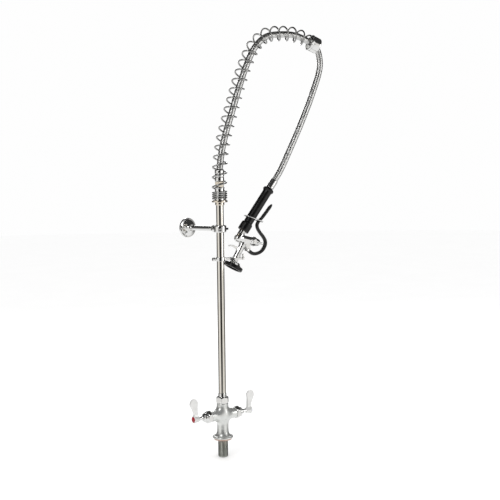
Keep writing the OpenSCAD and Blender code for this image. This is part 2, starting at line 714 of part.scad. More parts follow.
module spray_face() color("gainsboro") on_head() difference() {
  translate([0, 0, -2]) cylinder(r = 20, h = 3);
  for (a = [0 : 30 : 330]) rotate([0, 0, a]) translate([13, 0, -5]) cylinder(r = 1, h = 10);
  for (a = [0 : 60 : 300]) rotate([0, 0, a]) translate([8, 0, -5]) cylinder(r = 1, h = 10);
  translate([0, 0, -5]) cylinder(r = 2, h = 10);
}

module face_screw() color("silver") on_head() union() {
  translate([0, 0, -2]) cylinder(r = 2, h = 7);
  translate([0, 0, -3.5]) cylinder(r = 4, h = 1.5);
}

module spray_bumper() color("#1c1c1c") on_head() {
  r = bumper_d / 2;
  turned([
    [20, -6], [r - 3, -6], [r - 0.8, -5], [r, -3], [r, 2], [r - 0.8, 4], [r - 3, 5.2],
    [r - 6, 5], [r - 6, 3], [20, 3],
  ]);
}

deck_shank();
deck_gasket();
mixer_body();
hot_bonnet();
hot_cartridge();
hot_stem();
hot_handle();
hot_screw();
hot_index();
cold_bonnet();
cold_cartridge();
cold_stem();
cold_handle();
cold_screw();
cold_index();
riser_nut();
riser_sleeve();
riser_orings();
riser_pipe();
finger_hook();
hook_screw();
spring_seat();
seat_screw();
hose_adapter();
hose_washer();
hose_nut();
hose_ferrule();
overhead_hose();
overhead_spring();
spring_collar();
bracket_clamp();
bracket_screws();
bracket_rod();
bracket_locknut();
wall_flange();
drop_hose();
grip_ferrule();
grip_tube();
grip();
grip_skirt();
valve_body();
valve_bonnet();
valve_stem();
valve_washer();
valve_spring();
squeeze_lever();
lever_pin();
hold_ring();
spray_head();
head_gasket();
spray_face();
face_screw();
spray_bumper();
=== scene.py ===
import math

import bmesh
import bpy
import numpy as np
from mathutils import Matrix, Vector

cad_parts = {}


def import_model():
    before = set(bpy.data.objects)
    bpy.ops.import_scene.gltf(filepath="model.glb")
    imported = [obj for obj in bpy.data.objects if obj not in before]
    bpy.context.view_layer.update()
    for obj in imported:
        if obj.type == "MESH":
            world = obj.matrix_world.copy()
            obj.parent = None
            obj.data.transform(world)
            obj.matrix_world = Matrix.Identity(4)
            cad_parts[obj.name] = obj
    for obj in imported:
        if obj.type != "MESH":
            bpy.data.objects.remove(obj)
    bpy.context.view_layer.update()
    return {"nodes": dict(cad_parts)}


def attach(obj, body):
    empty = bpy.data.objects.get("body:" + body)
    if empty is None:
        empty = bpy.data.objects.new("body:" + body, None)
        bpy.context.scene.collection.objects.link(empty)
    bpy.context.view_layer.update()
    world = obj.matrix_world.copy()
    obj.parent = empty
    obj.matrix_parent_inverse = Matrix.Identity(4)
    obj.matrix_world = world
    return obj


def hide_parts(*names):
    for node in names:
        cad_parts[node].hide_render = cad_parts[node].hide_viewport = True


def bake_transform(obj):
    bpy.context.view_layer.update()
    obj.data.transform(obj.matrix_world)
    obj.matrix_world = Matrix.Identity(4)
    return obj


# Shapes below are in millimetres in the frame's axes and become metres when the mesh is made.
MM = 0.001
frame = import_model()
nodes = frame["nodes"]

# ---------------------------------------------------------------- camera
VIEW_AZIMUTH = math.radians(-25)
VIEW_PITCH = math.radians(3.8)
VIEW_ROLL = math.radians(-0.66)
VIEW_BACK, VIEW_ASIDE, VIEW_HEIGHT = 2.52, 0.083, 0.705


def add(name, data):
    obj = bpy.data.objects.new(name, data)
    bpy.context.scene.collection.objects.link(obj)
    return obj


cam_data = bpy.data.cameras.new("camera")
cam_data.lens = 64.8
cam_data.sensor_width = 36.0
camera = add("camera", cam_data)
forward = Vector((-math.sin(VIEW_AZIMUTH), math.cos(VIEW_AZIMUTH), 0))
right = Vector((math.cos(VIEW_AZIMUTH), math.sin(VIEW_AZIMUTH), 0))
look = forward * math.cos(VIEW_PITCH) - Vector((0, 0, math.sin(VIEW_PITCH)))
turn = look.to_track_quat("-Z", "Y").to_matrix().to_4x4()
camera.matrix_world = (
    Matrix.Translation(-VIEW_BACK * forward + VIEW_ASIDE * right + Vector((0, 0, VIEW_HEIGHT)))
    @ turn @ Matrix.Rotation(VIEW_ROLL, 4, "Z")
)
bpy.context.scene.camera = camera


# ---------------------------------------------------------------- material helpers
def material(name):
    mat = bpy.data.materials.new(name)
    mat.use_nodes = True
    tree = mat.node_tree
    return mat, tree, tree.nodes["Principled BSDF"]


def node(tree, kind, **inputs):
    n = tree.nodes.new(kind)
    for key, value in inputs.items():
        n.inputs[key.replace("_", " ")].default_value = value
    return n


def maths(tree, kind, operation, *sources):
    """A maths node whose inputs are sockets or plain values."""
    n = tree.nodes.new(kind)
    n.operation = operation
    for slot, source in zip(n.inputs, sources):
        if isinstance(source, (float, tuple)):
            slot.default_value = source
        else:
            tree.links.new(source, slot)
    return n


def object_noise(tree, scale, detail=3.0, stretch=(1, 1, 1)):
    coord = tree.nodes.new("ShaderNodeTexCoord")
    mapping = node(tree, "ShaderNodeMapping", Scale=stretch)
    noise = node(tree, "ShaderNodeTexNoise", Scale=scale, Detail=detail, Roughness=0.55)
    tree.links.new(coord.outputs["Object"], mapping.inputs["Vector"])
    tree.links.new(mapping.outputs["Vector"], noise.inputs["Vector"])
    return noise.outputs["Fac"]


def spread(tree, source, low, high):
    """Maps the middle of a noise, 0.3 to 0.7, to the range from low to high."""
    ranged = node(tree, "ShaderNodeMapRange", From_Min=0.3, From_Max=0.7, To_Min=low, To_Max=high)
    tree.links.new(source, ranged.inputs["Value"])
    return ranged.outputs["Result"]


def two_tone(tree, bsdf, source, first, second, low=0.35, high=0.65):
    ramp = tree.nodes.new("ShaderNodeValToRGB")
    ramp.color_ramp.elements[0].position = low
    ramp.color_ramp.elements[0].color = (*first, 1)
    ramp.color_ramp.elements[1].position = high
    ramp.color_ramp.elements[1].color = (*second, 1)
    tree.links.new(source, ramp.inputs["Fac"])
    tree.links.new(ramp.outputs["Color"], bsdf.inputs["Base Color"])


def bumps(tree, bsdf, sources, strength=0.3):
    """Chains bump nodes; sources are (height socket, distance in metres)."""
    last = None
    for height, distance in sources:
        bump = node(tree, "ShaderNodeBump", Strength=strength, Distance=distance)
        tree.links.new(height, bump.inputs["Height"])
        if last:
            tree.links.new(last, bump.inputs["Normal"])
        last = bump.outputs["Normal"]
    tree.links.new(last, bsdf.inputs["Normal"])


def metal(name, first, second, rough, grain=350.0, stretch=(1, 1, 1), depth=0.00004):
    mat, tree, bsdf = material(name)
    bsdf.inputs["Metallic"].default_value = 1.0
    wear = object_noise(tree, 45.0, 4.0)
    fine = object_noise(tree, grain, 2.0, stretch)
    two_tone(tree, bsdf, wear, first, second)
    tree.links.new(spread(tree, wear, *rough), bsdf.inputs["Roughness"])
    bumps(tree, bsdf, [(fine, depth)], 0.25)
    return mat


def dull(name, first, second, rough, grain=900.0, depth=0.00006, coat=0.0):
    mat, tree, bsdf = material(name)
    bsdf.inputs["Coat Weight"].default_value = coat
    bsdf.inputs["Coat Roughness"].default_value = 0.12
    bsdf.inputs["Specular IOR Level"].default_value = 0.4
    wear = object_noise(tree, 70.0, 5.0)
    fine = object_noise(tree, grain, 3.0)
    two_tone(tree, bsdf, wear, first, second)
    tree.links.new(spread(tree, wear, *rough), bsdf.inputs["Roughness"])
    bumps(tree, bsdf, [(fine, depth)], 0.5)
    return mat


CHROME = metal("chrome", (0.80, 0.80, 0.79), (0.86, 0.86, 0.85), (0.035, 0.09))
PIPE = metal("pipe_chrome", (0.80, 0.765, 0.70), (0.86, 0.83, 0.77), (0.05, 0.10), 600.0, (1, 1, 0.02))
CASTING = metal("cast_chrome", (0.72, 0.73, 0.71), (0.82, 0.83, 0.81), (0.26, 0.36), 260.0, depth=0.00008)
CASTING.node_tree.nodes["Principled BSDF"].inputs["Metallic"].default_value = 0.8
PADDLE = metal("paddle_chrome", (0.68, 0.68, 0.67), (0.75, 0.75, 0.74), (0.16, 0.26), 500.0)
PADDLE.node_tree.nodes["Principled BSDF"].inputs["Metallic"].default_value = 0.35
WIRE = metal("spring_wire", (0.36, 0.36, 0.35), (0.48, 0.48, 0.47), (0.10, 0.20), 900.0)
SHANK = metal("shank_metal", (0.42, 0.44, 0.40), (0.56, 0.57, 0.53), (0.26, 0.40), 500.0, depth=0.0001)
NUT = metal("warm_nickel", (0.78, 0.71, 0.60), (0.85, 0.79, 0.70), (0.10, 0.2))
BRASS = metal("brass", (0.72, 0.52, 0.26), (0.80, 0.62, 0.34), (0.2, 0.34))
SCREW = metal("dark_screw", (0.05, 0.05, 0.055), (0.10, 0.10, 0.105), (0.28, 0.42))
RUBBER = dull("black_rubber", (0.002, 0.002, 0.002), (0.005, 0.005, 0.005), (0.28, 0.38))
SEAL = dull("seal_rubber", (0.012, 0.012, 0.012), (0.03, 0.03, 0.03), (0.6, 0.75))
LEVER = dull("lever_coating", (0.004, 0.004, 0.004), (0.008, 0.008, 0.009), (0.28, 0.38), 500.0, coat=0.1)
GASKET = dull("pink_gasket", (0.42, 0.29, 0.24), (0.52, 0.38, 0.32), (0.55, 0.7), 700.0)
RED = dull("red_index", (0.26, 0.008, 0.014), (0.34, 0.014, 0.022), (0.18, 0.3), 400.0, 0.00002, coat=0.6)
BLUE = dull("blue_index", (0.015, 0.08, 0.42), (0.03, 0.12, 0.52), (0.18, 0.3), 400.0, 0.00002, coat=0.6)


WIRES_A_STRAND = 5


def braid_material():
    """Steel braid. The mesh carries the braid's relief, its strand numbers as UV and painted shade in its
    gaps.
    """
    mat, tree, bsdf = material("steel_braid")
    bsdf.inputs["Metallic"].default_value = 1.0
    weave_and_gap_shade = tree.nodes.new("ShaderNodeAttribute")
    weave_and_gap_shade.attribute_name = "weave_and_gap_shade"
    parts = tree.nodes.new("ShaderNodeSeparateColor")
    tree.links.new(weave_and_gap_shade.outputs["Color"], parts.inputs["Color"])
    # Red of the attribute is painted shade: steel colour on the strands' crests, near black down in the gaps
    # between them.
    two_tone(tree, bsdf, parts.outputs["Red"], (0.02, 0.019, 0.017), (0.70, 0.70, 0.69), 0.16, 0.70)
    wear = object_noise(tree, 120.0, 3.0)
    tree.links.new(spread(tree, wear, 0.22, 0.32), bsdf.inputs["Roughness"])
    uv = tree.nodes.new("ShaderNodeUVMap")
    uv.uv_map = "strands"
    split = tree.nodes.new("ShaderNodeSeparateXYZ")
    tree.links.new(uv.outputs["UV"], split.inputs["Vector"])
    lines = []
    for axis in ("X", "Y"):
        scaled = maths(tree, "ShaderNodeMath", "MULTIPLY", split.outputs[axis], 2 * math.pi * WIRES_A_STRAND)
        lines.append(maths(tree, "ShaderNodeMath", "SINE", scaled.outputs[0]).outputs[0])
    mix = tree.nodes.new("ShaderNodeMix")
    tree.links.new(parts.outputs["Green"], mix.inputs["Factor"])
    tree.links.new(lines[0], mix.inputs[2])
    tree.links.new(lines[1], mix.inputs[3])
    bumps(tree, bsdf, [(mix.outputs[0], 0.00006)], 0.5)
    return mat


BRAID = braid_material()


# ---------------------------------------------------------------- mesh helpers
def put(name, verts, faces, mat, body, replaced=(), normals=None, free=False):
    """Makes an object from points in millimetres and gives it its material. It rides on its body unless
    free is set."""
    mesh = bpy.data.meshes.new(name)
    mesh.from_pydata((np.asarray(verts, float) * MM).tolist(), [], [list(map(int, f)) for f in faces])
    mesh.update()
    for p in mesh.polygons:
        p.use_smooth = True
    if normals is not None:
        mesh.normals_split_custom_set_from_vertices(np.asarray(normals, float).tolist())
    obj = add(name, mesh)
    mesh.materials.append(mat)
    if replaced:
        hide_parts(*replaced)
    if not free:
        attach(obj, body)
    return obj


def leaned(at, tilt):
    """Frame at [x, z] in the X-Z plane whose +Z leans by tilt degrees towards +X."""
    a = math.radians(tilt)
    return (np.array([[math.cos(a), 0, math.sin(a)], [0, 1, 0], [-math.sin(a), 0, math.cos(a)]]),
            np.array([at[0], 0, at[1]], float))


# The mixer's arms are shaped along X and then turned by ARM_TURN degrees from +X towards +Y.
ARM_TURN = 10
ARM_Z = 70.0


def arm(side):
    """Frame whose +Z runs out along an arm: side -1 is the hot one, 1 the cold one."""
    return np.array([[0, 0, side], [0, 1, 0], [-side, 0, 0]], float), np.array([0, 0, ARM_Z])


def about_z(degrees):
    a = math.radians(degrees)
    return np.array([[math.cos(a), -math.sin(a), 0], [math.sin(a), math.cos(a), 0], [0, 0, 1]])


def round_about(z, angle):
    """Frame whose +Z points sideways from the riser's axis at height z, at angle degrees from +X."""
    a = math.radians(angle)
    return (np.array([[0, -math.sin(a), math.cos(a)], [0, math.cos(a), math.sin(a)], [-1, 0, 0]]),
            np.array([0, 0, z], float))


UPRIGHT = leaned((0, 0), 0)
GRIP_O = np.array([54, 568.5])
GRIP_TILT = 35.6
GRIP = leaned(GRIP_O, GRIP_TILT)
BAR = leaned((54, 572), 105)
HEAD_O, HEAD_TILT = (39, 490.5), 30
HEAD_LEAN = math.radians(HEAD_TILT)
HEAD = leaned(HEAD_O, HEAD_TILT)
WALL_ANGLE = 107
BRACKET_Z = 598
WALL = round_about(BRACKET_Z, WALL_ANGLE)


def world(at, points):
    rot, origin = at
    return np.asarray(points, float) @ rot.T + origin


def local(at, points):
    rot, origin = at
    return (points - origin) @ rot


def circle(n):
    return np.arange(n) * 2 * math.pi / n


def unit(vectors):
    return vectors / np.linalg.norm(vectors, axis=1, keepdims=True)


def bar_faces(rings, sides, close=False):
    faces = []
    for i in range(rings if close else rings - 1):
        j = (i + 1) % rings
        for k in range(sides):
            l = (k + 1) % sides
            faces.append((i * sides + k, i * sides + l, j * sides + l, j * sides + k))
    return faces


def capped(faces, rings, sides):
    return faces + [tuple(range(sides))[::-1], tuple((rings - 1) * sides + k for k in range(sides))]


SMOOTH_BEND, SHARP_BEND = 14, 40      # degrees


def softened(profile, fillet, closed):
    """Rounds a profile's corners. Gives its points and the outward normal at each (profile runs upward
    on the outside)."""
    pts = [np.array(p, float) for p in profile]
    n = len(pts)
    out, nrm = [], []

    def normal(a, b):
        d = (b - a) / max(np.linalg.norm(b - a), 1e-9)
        return np.array([d[1], -d[0]])

    for i in range(n):
        if not closed and i in (0, n - 1):
            out.append(pts[i])
            nrm.append(normal(pts[0], pts[1]) if i == 0 else normal(pts[-2], pts[-1]))
            continue
        a, b, c = pts[i - 1], pts[i], pts[(i + 1) % n]
        n1, n2 = normal(a, b), normal(b, c)
        bend = math.degrees(math.acos(np.clip(n1 @ n2, -1, 1)))
        if bend < SMOOTH_BEND or fillet <= 0:
            m = n1 + n2
            out.append(b)
            nrm.append(m / np.linalg.norm(m))
            continue
        la, lc = np.linalg.norm(b - a), np.linalg.norm(c - b)
        cut = min(fillet, 0.42 * la, 0.42 * lc)
        p1, p2 = b + (a - b) / la * cut, b + (c - b) / lc * cut
        steps = 5 if bend > SHARP_BEND else 3
        for k in range(steps + 1):
            t = k / steps
            out.append((1 - t) ** 2 * p1 + 2 * t * (1 - t) * b + t * t * p2)
            m = (1 - t) * n1 + t * n2
            nrm.append(m / max(np.linalg.norm(m), 1e-9))
    return np.array(out), np.array(nrm)


def lathe(name, profile, at, mat, body, replaced=(), fillet=0.5, segs=72, closed=False):
    """A turned piece. profile is (radius, height) upward along the outside; closed also turns a bore."""
    pts, nrm = softened(profile, fillet, closed)
    n = len(pts)
    a = circle(segs)
    ring = np.stack([np.cos(a), np.sin(a)], -1)
    verts = np.concatenate([
        np.concatenate([p[0] * ring, np.full((segs, 1), p[1])], 1) for p in pts])
    norms = np.concatenate([
        np.concatenate([m[0] * ring, np.full((segs, 1), m[1])], 1) for m in nrm])
    faces = bar_faces(n, segs, closed)
    verts, norms = list(verts), list(norms)
    if not closed:
        for end, sign in ((0, -1.0), (n - 1, 1.0)):
            base = len(verts)
            rim = [verts[end * segs + k] for k in range(segs)]
            if pts[end][0] < 1e-6:
                continue
            verts += rim + [np.array([0, 0, pts[end][1]])]
            norms += [np.array([0, 0, sign])] * (segs + 1)
            for k in range(segs):
                l = (k + 1) % segs
                tri = (base + k, base + l, base + segs)
                faces.append(tri if sign > 0 else tri[::-1])
    rot, _ = at
    return put(name, world(at, verts), faces, mat, body, replaced, np.asarray(norms) @ rot.T)


# Signed distances, in millimetres, on arrays of points.
def poly_distance(x, y, poly):
    d = np.full(x.shape, 1e12)
    s = np.ones(x.shape)
    n = len(poly)
    for i in range(n):
        (ax, ay), (bx, by) = poly[i], poly[i - 1]
        ex, ey = bx - ax, by - ay
        wx, wy = x - ax, y - ay
        t = np.clip((wx * ex + wy * ey) / max(ex * ex + ey * ey, 1e-12), 0, 1)
        d = np.minimum(d, (wx - ex * t) ** 2 + (wy - ey * t) ** 2)
        c1, c2, c3 = y >= ay, y < by, ex * wy > ey * wx
        s = np.where((c1 & c2 & c3) | (~c1 & ~c2 & ~c3), -s, s)
    return s * np.sqrt(d)


def turned(p, at, profile):
    q = local(at, p)
    filled = [(-40.0 if r <= 0 else r, z) for r, z in profile]
    return poly_distance(np.hypot(q[..., 0], q[..., 1]), q[..., 2], filled)


def rod(p, at, r, z0, z1):
    q = local(at, p)
    dr, dz = np.hypot(q[..., 0], q[..., 1]) - r, np.abs(q[..., 2] - (z0 + z1) / 2) - (z1 - z0) / 2
    return np.minimum(np.maximum(dr, dz), 0) + np.hypot(np.maximum(dr, 0), np.maximum(dz, 0))


def ball(p, centre, r):
    return np.linalg.norm(p - np.array(centre, float), axis=-1) - r


def slab(p, poly, axes, across, middle, half):
    """Polygon in the plane of two axes, thick along the third."""
    d2 = poly_distance(p[..., axes[0]], p[..., axes[1]], poly)
    dz = np.abs(p[..., across] - middle) - half
    return np.minimum(np.maximum(d2, dz), 0) + np.hypot(np.maximum(d2, 0), np.maximum(dz, 0))


def hexagon(p, at, corner_d, z0, z1, bevel):
    q = local(at, p)
    a = np.radians([30, 90, 150])
    flat = np.max([np.abs(q[..., 0] * math.cos(t) + q[..., 1] * math.sin(t)) for t in a], 0)
    r = corner_d / 2
    cone = turned(p, at, [(0, z0), (r - bevel, z0), (r, z0 + bevel), (r, z1 - bevel), (r - bevel, z1),
                          (0, z1)])
    return np.maximum(flat - r * math.cos(math.pi / 6), cone)


def join(a, b, k):
    h = np.maximum(k - np.abs(a - b), 0) / k
    return np.minimum(a, b) - h * h * k / 4


def cut(a, b, k=0.4):
    return -join(-a, b, k)


PROBES = 32              # directions in which skin() averages the distance
SETTLING_STEPS = 3


def skin(name, distance, low, high, step, mat, body, replaced=(), soft=0.6, spin=0):
    """Meshes the zero surface of a distance function, with corners rounded by about soft, and turns it
    about Z by spin degrees."""
    low, high = np.array(low, float) - 1.6 * step, np.array(high, float) + 2.6 * step
    axes = [np.arange(low[i], high[i], step) for i in range(3)]
    grid = np.stack(np.meshgrid(*axes, indexing="ij"), -1)
    v = distance(grid)
    shape = np.array(v.shape) - 1
    inside = v < 0
    total = np.zeros(tuple(shape) + (3,))
    count = np.zeros(tuple(shape))

    def part(array, corner):
        return array[tuple(slice(c, c + s) for c, s in zip(corner, shape))]

    corners = [(i, j, k) for i in (0, 1) for j in (0, 1) for k in (0, 1)]
    for corner in corners:
        for axis in range(3):
            if corner[axis]:
                continue
            other = tuple(c + (i == axis) for i, c in enumerate(corner))
            a, b = part(v, corner), part(v, other)
            crosses = (a < 0) != (b < 0)
            t = np.where(crosses, a / np.where(crosses, a - b, 1), 0)
            point = np.broadcast_to(np.array(corner, float), total.shape).copy()
            point[..., axis] = t
            total += point * crosses[..., None]
            count += crosses
    active = count > 0
    index = np.full(tuple(shape), -1)
    index[active] = np.arange(active.sum())
    cells = np.argwhere(active)
    verts = low + step * (cells + total[active] / count[active][:, None])
    faces = []
    for axis in range(3):
        u, w = (axis + 1) % 3, (axis + 2) % 3
        a = np.moveaxis(inside, (axis, u, w), (0, 1, 2))
        ids = np.moveaxis(index, (axis, u, w), (0, 1, 2))
        first, second = a[:-1, 1:-1, 1:-1], a[1:, 1:-1, 1:-1]
        quad = np.stack([ids[:, :-1, :-1], ids[:, 1:, :-1], ids[:, 1:, 1:], ids[:, :-1, 1:]], -1)
        for mask, order in ((first & ~second, [0, 1, 2, 3]), (~first & second, [3, 2, 1, 0])):
            faces.append(quad[mask][:, order])
    faces = np.concatenate(faces)
    k = np.arange(PROBES)
    z = 1 - (2 * k + 1) / PROBES
    ring = np.sqrt(1 - z * z)
    turn_by = k * math.pi * (3 - math.sqrt(5))
    ball_points = np.stack([ring * np.cos(turn_by), ring * np.sin(turn_by), z], -1)

    def filtered(points):
        value = np.zeros(len(points))
        slope = np.zeros((len(points), 3))
        for d in ball_points:
            f = distance(points + soft * d)
            value += f
            slope += f[:, None] * d
        return value / PROBES, slope * 3 / (PROBES * soft)

    for _ in range(SETTLING_STEPS):
        value, slope = filtered(verts)
        size = np.maximum((slope ** 2).sum(1), 0.15)
        move = (value / size)[:, None] * slope
        reach = np.linalg.norm(move, axis=1, keepdims=True)
        verts = verts - move * np.minimum(1, 0.8 * step / np.maximum(reach, 1e-9))
    _, slope = filtered(verts)
    normals = slope / np.maximum(np.linalg.norm(slope, axis=1, keepdims=True), 1e-9)
    return put(name, verts @ about_z(spin).T, faces, mat, body, replaced, normals @ about_z(spin).T)


def spline(a, b, c, d, t):
    return 0.5 * (2 * b + (c - a) * t + (2 * a - 5 * b + 4 * c - d) * t * t
                  + (3 * b - a - 3 * c + d) * t ** 3)


def on_route(route, before, after, t):
    i = min(int(math.floor(t)), len(route) - 2)
    p = [np.array(x, float) for x in [before, *route, after]]
    return spline(p[i], p[i + 1], p[i + 2], p[i + 3], t - i)


# ---------------------------------------------------------------- hose line
ARCH = [(0, 678), (0, 728), (2, 778), (9, 827), (21, 875), (36, 923), (51, 971), (67, 1018), (86, 1065),
        (110, 1109), (147, 1141), (195, 1150), (244, 1148), (291, 1130.5)]
ARCH_BEFORE, ARCH_AFTER = (0, 628), (337, 1110)
ARCH_LEN = 652
COLLAR_LEN = 27
HOSE_FROM, BEND_FROM, BEND_R, HOSE_LEAN = 86, 649, 60, 5
HOSE_R = 9
DROP = [(321, 1092), (323, 1066), (318, 1040), (309, 1014), (298, 986), (286, 956), (272, 925),
        (258, 894), (243, 863), (228, 833), (213, 803), (198, 774), (184, 750)]
ARCH_END = np.array(ARCH[-1], float)
arch_step = np.array(ARCH_AFTER, float) - np.array(ARCH[-2], float)
ARCH_DIR = arch_step / np.linalg.norm(arch_step)


def arch(s):
    if s > ARCH_LEN:
        return ARCH_END + (s - ARCH_LEN) * ARCH_DIR
    return on_route(ARCH, ARCH_BEFORE, ARCH_AFTER, s / ARCH_LEN * (len(ARCH) - 1))


def inward(s):
    d = arch(s + 1) - arch(s - 1)
    d /= np.linalg.norm(d)
    return np.array([d[1], -d[0]])


def hose_line(s):
    if s < BEND_FROM:
        shift = HOSE_LEAN * math.sin(math.pi * (s - HOSE_FROM) / (BEND_FROM - HOSE_FROM))
    else:
        shift = BEND_R - math.sqrt(BEND_R ** 2 - (s - BEND_FROM) ** 2)
    return arch(s) + shift * inward(s)


def grip_point(u):
    a = math.radians(GRIP_TILT)
    return GRIP_O + u * np.array([math.sin(a), math.cos(a)])


MOUTH = ARCH_LEN + COLLAR_LEN
GRIP_TOP = 202
HOSE_EXIT = hose_line(MOUTH)
drop_points = [tuple(HOSE_EXIT), *DROP, tuple(grip_point(GRIP_TOP))]


def evenly(curve, start, end, pitch):
    """Points about pitch apart along a curve of one parameter, and the distance of each along it."""
    fine = np.array([curve(start + (end - start) * i / 4000) for i in range(4001)])
    run = np.concatenate([[0], np.cumsum(np.linalg.norm(np.diff(fine, axis=0), axis=1))])
    n = int(round(run[-1] / pitch))
    at = np.linspace(0, run[-1], n + 1)
    return np.stack([np.interp(at, run, fine[:, 0]), np.interp(at, run, fine[:, 1])], -1), at


STRANDS = 16
STRAND_PITCH = 3.9       # along the hose, per strand
STRAND_RISE, STRAND_CROWN = 0.13, 0.17
BRAID_SIDES = 96


def braided(name, line, run, start, body, replaced, free=False):
    """A hose whose surface is woven from two sets of flat strands."""
    d = unit(np.gradient(line, axis=0))
    side = np.stack([d[:, 1], -d[:, 0]], -1)
    angle = circle(BRAID_SIDES)
    s = (run + start)[:, None]
    a = STRANDS * angle[None] / (2 * math.pi) + s / STRAND_PITCH
    b = STRANDS * angle[None] / (2 * math.pi) - s / STRAND_PITCH
    i, j = np.round(a), np.round(b)
    flip = np.where((i % 2) == 0, 1.0, -1.0), np.where((j % 2) == 0, 1.0, -1.0)
    crown_a, crown_b = 1 - (2 * (a - i)) ** 2, 1 - (2 * (b - j)) ** 2
    high_a = STRAND_RISE * flip[0] * np.cos(math.pi * b) + STRAND_CROWN * crown_a
    high_b = -STRAND_RISE * flip[1] * np.cos(math.pi * a) + STRAND_CROWN * crown_b
    height = np.maximum(high_a, high_b)
    r = HOSE_R - STRAND_RISE - STRAND_CROWN + height
    ca, sa = np.cos(angle)[None], np.sin(angle)[None]
    verts = np.stack([line[:, :1] + r * ca * side[:, :1], r * sa, line[:, 1:] + r * ca * side[:, 1:]], -1)
    n = len(line)
    obj = put(name, verts.reshape(-1, 3), capped(bar_faces(n, BRAID_SIDES), n, BRAID_SIDES), BRAID, body,
              replaced, free=True)
    mesh = obj.data
    colour = mesh.color_attributes.new("weave_and_gap_shade", "FLOAT_COLOR", "POINT")
    # Painted shade: the lower a point of the braid, the darker its colour, so the gaps between strands look
    # shaded.
    gap_shading = np.clip((height + 0.06) / 0.3, 0, 1)
    rgba = np.stack([gap_shading, (high_b > high_a) * 1.0, gap_shading * 0, gap_shading * 0 + 1], -1)
    colour.data.foreach_set("color", rgba.astype(np.float32).ravel())
    layer = mesh.uv_layers.new(name="strands")
    loops = np.zeros(len(mesh.loops), np.int32)
    mesh.loops.foreach_get("vertex_index", loops)
    uv = np.stack([a.ravel()[loops], b.ravel()[loops]], -1)
    layer.data.foreach_set("uv", uv.astype(np.float32).ravel())
    if not free:
        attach(obj, body)
    return obj


PITCH = 0.78             # between the rings of a hose's mesh
drop_line, drop_run = evenly(
    lambda t: on_route(drop_points, hose_line(MOUTH - 20), grip_point(GRIP_TOP - 20), t),
    0, len(drop_points) - 1, PITCH)
over_line, over_run = evenly(hose_line, HOSE_FROM, MOUTH, PITCH)
drop_hose = braided("hose_drop", drop_line, drop_run, over_run[-1], "sprayer", ["drop_hose"], free=True)
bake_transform(drop_hose)
braided("hose_overhead", over_line, over_run, 0, "riser", ["overhead_hose"])

# ---------------------------------------------------------------- overhead spring
TURNS, CLOSED, CLOSED_PITCH, WIRE_R, SPRING_R = 27, 4, 5.5, 2.25, 19.25
DRAWN_IN = 1.7           # how much smaller the last turn's radius is, inside the collar
COIL_STEPS, COIL_SIDES = 40, 12


def coil_point(n):
    open_pitch = (ARCH_LEN - CLOSED * CLOSED_PITCH) / (TURNS - CLOSED)
    along = CLOSED_PITCH * n if n < CLOSED else CLOSED * CLOSED_PITCH + open_pitch * (n - CLOSED)
    s = WIRE_R + 0.05 + (ARCH_LEN + 6 - 2 * WIRE_R) / ARCH_LEN * along
    c, side = arch(s), inward(s)
    r = SPRING_R - DRAWN_IN * max(0, min(1, (n - TURNS + 1.6) / 0.8))
    turn_at = 2 * math.pi * n
    return np.array([c[0] + r * math.cos(turn_at) * side[0], r * math.sin(turn_at),
                     c[1] + r * math.cos(turn_at) * side[1]])


def wire(path, radii, first, second, sides):
    """Points of a round wire along a path, whose section at each point lies between two directions."""
    a = circle(sides)[None, :, None]
    section = first[:, None] * np.cos(a) + second[:, None] * np.sin(a)
    return (path[:, None] + radii[:, None, None] * section).reshape(-1, 3)


coil = np.array([coil_point(i / COIL_STEPS) for i in range(TURNS * COIL_STEPS + 1)])
tangent = unit(np.gradient(coil, axis=0))
up = unit(np.cross(tangent, [0, 1, 0]))
wire_radii = np.full(len(coil), WIRE_R)
wire_radii[[0, -1]] = WIRE_R * 0.82
put("spring_overhead", wire(coil, wire_radii, up, np.cross(tangent, up), COIL_SIDES),
    capped(bar_faces(len(coil), COIL_SIDES), len(coil), COIL_SIDES), WIRE, "riser", ["overhead_spring"])

# ---------------------------------------------------------------- spring's foot and collar
lathe("seat_ring", [(10.5, 664), (12, 664), (13, 666), (13, 672), (21, 672), (22, 673), (22, 677), (21, 678),
                    (14, 678), (14, 677), (10.5, 677)],
      UPRIGHT, NUT, "riser", ["spring_seat"], fillet=0.5, closed=True)
lathe("adapter", [(6.5, 672), (10.45, 672), (10.45, 678), (14, 678), (14, 683), (13.2, 684), (13.2, 710),
                  (14, 711), (14, 713), (13, 714.5), (9.4, 714.5), (9.4, 722), (6.5, 722)],
      UPRIGHT, CHROME, "riser", ["hose_adapter"], fillet=0.5, closed=True)
skin("nut_hose", lambda p: cut(hexagon(p, UPRIGHT, 27, 715, 730, 1.5), rod(p, UPRIGHT, 7.8, 700, 740)),
     (-14, -14, 715), (14, 14, 730), 0.7, NUT, "riser", ["hose_nut"], soft=0.45)
ferrule_top = float(over_line[0][1])
lathe("ferrule_hose", [(7.2, 724), (7.5, 730.2), (12, 730.2), (13, 732), (13, 741), (12.2, 742),
                       (12.2, 743.4), (13, 744.4), (13, 750), (12.2, 751), (12.2, 752.4), (13, 753.4),
                       (13, ferrule_top - 3), (11.5, ferrule_top + 0.6), (8.6, ferrule_top + 0.6),
                       (7.2, 750)],
      UPRIGHT, CHROME, "riser", ["hose_ferrule"], fillet=0.5, closed=True)
COLLAR = leaned(ARCH_END, 90 - math.degrees(math.atan2(ARCH_DIR[1], ARCH_DIR[0])))
lathe("collar", [(20, -1), (22, -1), (23, 0.2), (23, 3), (22.2, 4), (20.9, 4.4), (20.9, 6.6), (22.1, 7.2),
                 (22.4, 9), (22.4, 24), (21.9, 26), (20.9, 27), (19.9, 27), (19.9, 9), (20, 8)],
      COLLAR, CHROME, "riser", ["spring_collar"], fillet=0.7, closed=True, segs=96)

